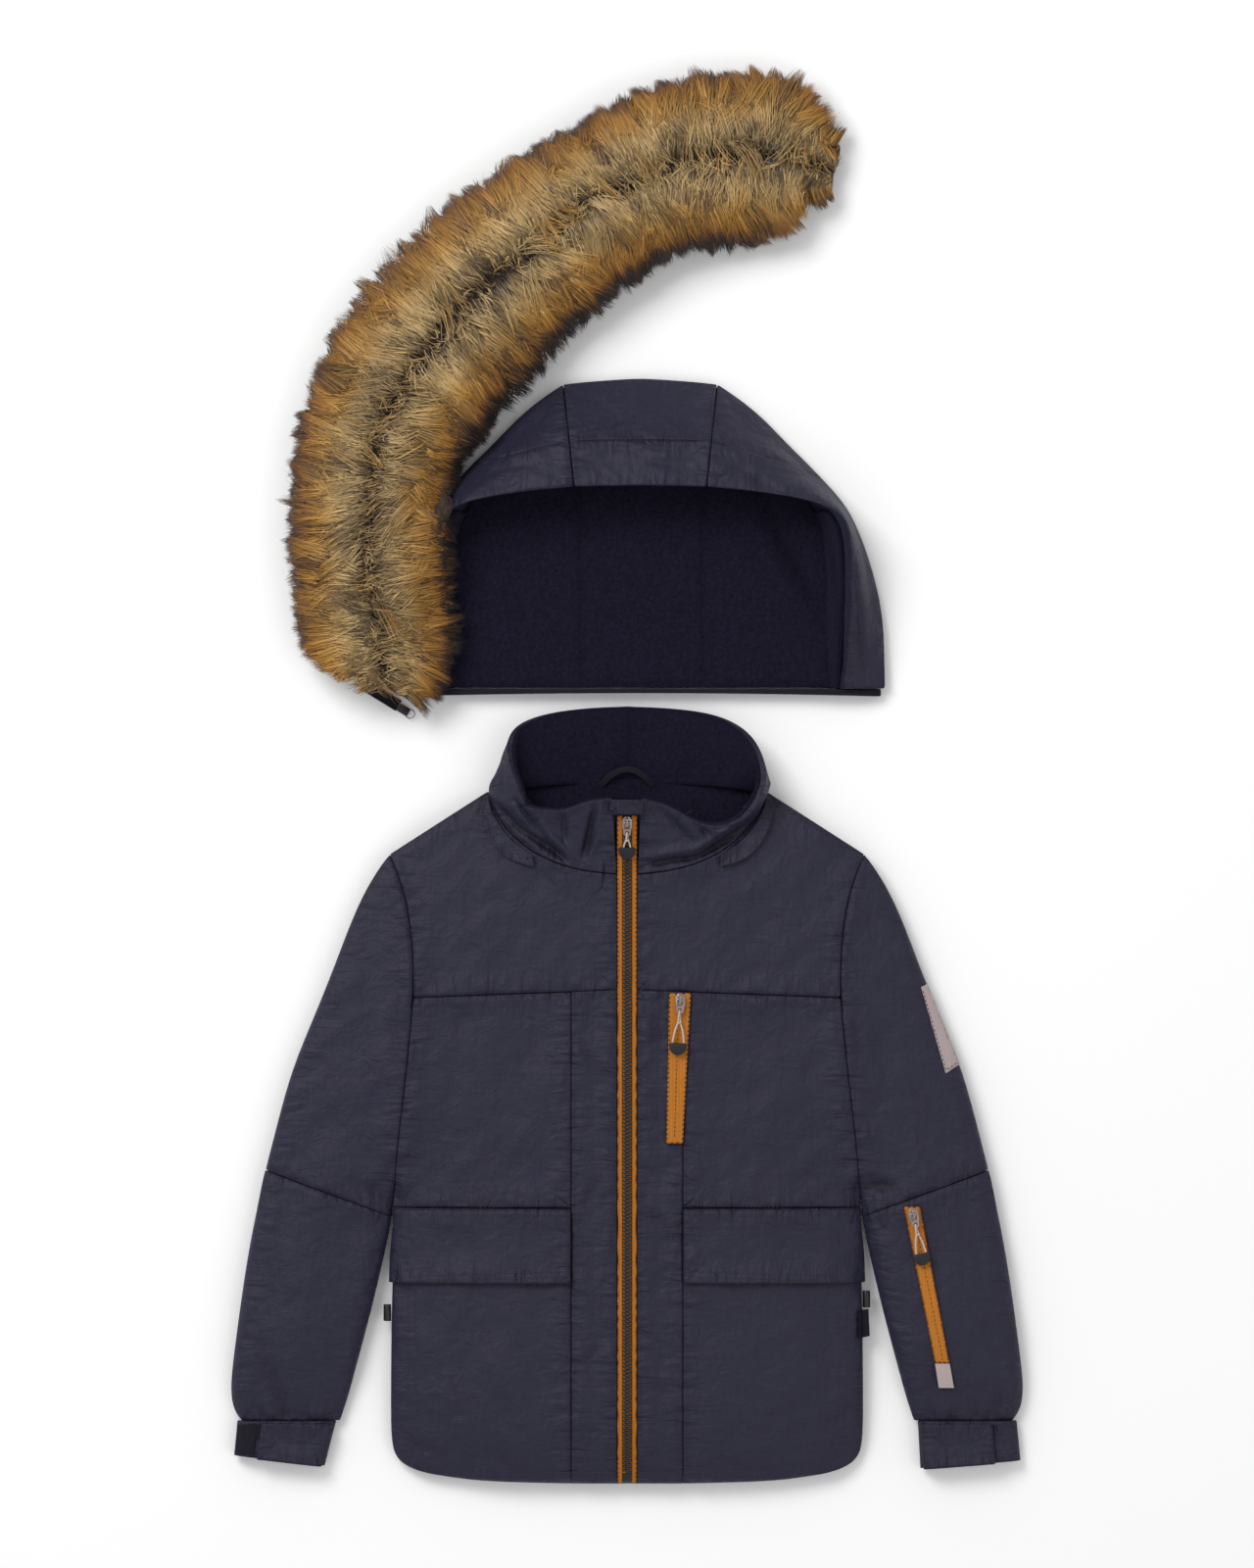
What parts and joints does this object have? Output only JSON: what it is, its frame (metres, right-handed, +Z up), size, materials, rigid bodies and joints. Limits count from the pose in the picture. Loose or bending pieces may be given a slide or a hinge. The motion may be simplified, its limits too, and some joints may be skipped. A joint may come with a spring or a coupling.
{
  "type": "snowsuit jacket with hood",
  "caption": "Child's padded winter jacket of a snowsuit, laid flat, with pockets and zips; its hood is off above it, its fur trim half unzipped.",
  "frame": {"origin": "on the floor, under the middle of the whole layout's box", "axes": "+Y from the hem to the hood, +X to the wearer's left, +Z up off the floor"},
  "size_m": [0.6172, 1.0919, 0.063],
  "materials": {
    "shell": "satin woven nylon shell over padding",
    "fleece": "short brushed fleece",
    "tape": "ribbed zip tape, orange",
    "binding": "black woven tape and binding",
    "label": "plain woven label",
    "fur": "long faux fur",
    "metal": "pinkish nickel plating",
    "teeth": "moulded plastic zip teeth",
    "cord": "braided cord",
    "rubber": "soft moulded rubber"
  },
  "bodies": {
    "jacket": {"back": "shell", "front_centre_L": "shell", "front_centre_R": "shell", "front_side_L": "shell", "front_side_R": "shell", "front_yoke_L": "shell", "front_yoke_R": "shell", "pocket_L": "shell", "pocket_R": "shell", "pocket_flap_L": "shell", "pocket_flap_R": "shell", "sleeve_upper_L": "shell", "sleeve_upper_R": "shell", "sleeve_lower_L": "shell", "sleeve_lower_R": "shell", "cuff_L": "shell", "cuff_R": "shell", "cuff_tab_L": "shell", "cuff_tab_R": "shell", "collar_shell": "shell", "neck_flap_L": "shell", "neck_flap_R": "shell", "zip_garage": "shell", "hood_back": "shell", "hood_centre": "shell", "hood_side_L": "shell", "hood_side_R": "shell", "collar_lining": "fleece", "hood_lining": "fleece", "zip_tape_L": "tape", "zip_tape_R": "tape", "chest_zip_tape": "tape", "sleeve_zip_tape": "tape", "cuff_patch_L": "binding", "hanger_loop": "binding", "hood_neck_band": "binding", "side_tag_R": "binding", "side_toggle_L": "binding", "side_toggle_R": "binding", "trim_tape": "binding", "sleeve_label": "label", "sleeve_zip_end": "label", "fur_trim": "fur", "zip_stop": "metal", "zip_slider": "metal", "chest_zip_slider": "metal", "sleeve_zip_slider": "metal", "trim_pin": "metal", "trim_slider": "metal", "zip_chain": "teeth"},
    "main_pull": {"main_pull_tab": "metal", "main_pull_cord": "cord", "main_pull_grip": "rubber"},
    "chest_pull": {"chest_pull_tab": "metal", "chest_pull_cord": "cord", "chest_pull_grip": "rubber"},
    "sleeve_pull": {"sleeve_pull_tab": "metal", "sleeve_pull_cord": "cord", "sleeve_pull_grip": "rubber"},
    "ring_pull": {"trim_ring": "metal"}
  },
  "joints": [
    {"name": "main_pull_tilt", "type": "hinge", "parent": "jacket", "child": "main_pull", "pos_m": [0, -0.0326, 0.04336], "axis": [-1, 0, 0], "range_deg": [0, 100]},
    {"name": "chest_pull_tilt", "type": "hinge", "parent": "jacket", "child": "chest_pull", "pos_m": [0.0412, -0.1696, 0.03632], "axis": [-0.9988, 0.0499, 0], "range_deg": [0, 160]},
    {"name": "sleeve_pull_tilt", "type": "hinge", "parent": "jacket", "child": "sleeve_pull", "pos_m": [0.2217, -0.3356, 0.03307], "axis": [-0.9814, -0.1921, 0], "range_deg": [0, 160]},
    {"name": "ring_pull_tilt", "type": "hinge", "parent": "jacket", "child": "ring_pull", "pos_m": [-0.17181, 0.05377, 0.0036], "axis": [-0.5221, -0.8529, 0], "range_deg": [0, 160]}
  ]
}
